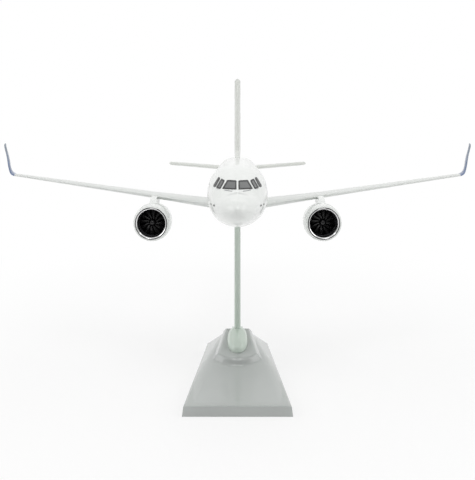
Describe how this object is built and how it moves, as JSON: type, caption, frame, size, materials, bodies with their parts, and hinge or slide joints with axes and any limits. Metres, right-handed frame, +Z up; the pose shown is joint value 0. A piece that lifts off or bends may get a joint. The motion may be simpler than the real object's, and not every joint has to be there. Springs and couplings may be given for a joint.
{
  "type": "desktop airliner model",
  "caption": "Plain snap-together desk model of a narrow-body twin-engine airliner on a leaning arm and a weighted wedge-shaped base, with turning fans.",
  "frame": {"origin": "middle of the base's footprint, on the surface that the rubber pad stands on", "axes": "+Z up, +Y from the nose towards the tail, +X to the aircraft's own left wing"},
  "size_m": [0.2764, 0.3234, 0.1609],
  "materials": {
    "body_white": "gloss",
    "fairing_grey": "gloss",
    "wing_grey": "satin",
    "tail_grey": "gloss",
    "winglet_blue": "gloss",
    "window_dark": "gloss",
    "inner_plastic": "matte",
    "lip_chrome": "polished",
    "engine_dark": "matte",
    "fan_dark": "gloss",
    "core_metal": "satin",
    "stand_arm_grey": "satin",
    "stand_grey": "gloss",
    "ballast_steel": "raw",
    "screw_steel": "satin",
    "pad_rubber": "matte"
  },
  "bodies": {
    "stand": {"base_shell": "stand_grey", "base_cover": "stand_grey", "ballast_plate": "ballast_steel", "cover_screws": "screw_steel", "rubber_pad": "pad_rubber"},
    "arm_assembly": {"arm": "stand_arm_grey", "arm_foot": "stand_arm_grey"},
    "airplane": {"left_fuselage_half": "body_white", "right_fuselage_half": "body_white", "belly_fairing": "fairing_grey", "cockpit_windows": "window_dark", "wing_spar": "inner_plastic", "stand_socket": "inner_plastic", "fin": "tail_grey", "left_wing": "wing_grey", "left_winglet": "winglet_blue", "left_stabiliser": "tail_grey", "left_inlet_lip": "lip_chrome", "left_nacelle": "body_white", "left_fan_case": "engine_dark", "left_fan_pin": "screw_steel", "left_core_cowl": "core_metal", "left_exhaust_cone": "core_metal", "left_pylon": "body_white", "right_wing": "wing_grey", "right_winglet": "winglet_blue", "right_stabiliser": "tail_grey", "right_inlet_lip": "lip_chrome", "right_nacelle": "body_white", "right_fan_case": "engine_dark", "right_fan_pin": "screw_steel", "right_core_cowl": "core_metal", "right_exhaust_cone": "core_metal", "right_pylon": "body_white"},
    "left_fan_rotor": {"left_fan": "fan_dark"},
    "right_fan_rotor": {"right_fan": "fan_dark"}
  },
  "joints": [
    {"name": "arm_lift", "type": "slide", "parent": "stand", "child": "arm_assembly", "axis": [0, -0.2079, 0.9781], "range_m": [0, 0.015]},
    {"name": "airplane_lift", "type": "slide", "parent": "arm_assembly", "child": "airplane", "axis": [0, -0.2079, 0.9781], "range_m": [0, 0.02]},
    {"name": "left_fan_spin", "type": "hinge", "parent": "airplane", "child": "left_fan_rotor", "pos_m": [0.0432, -0.03721, 0.1023], "axis": [0, 0.9903, -0.1392], "continuous": true},
    {"name": "right_fan_spin", "type": "hinge", "parent": "airplane", "child": "right_fan_rotor", "pos_m": [-0.0432, -0.03721, 0.1023], "axis": [0, 0.9903, -0.1392], "continuous": true}
  ]
}
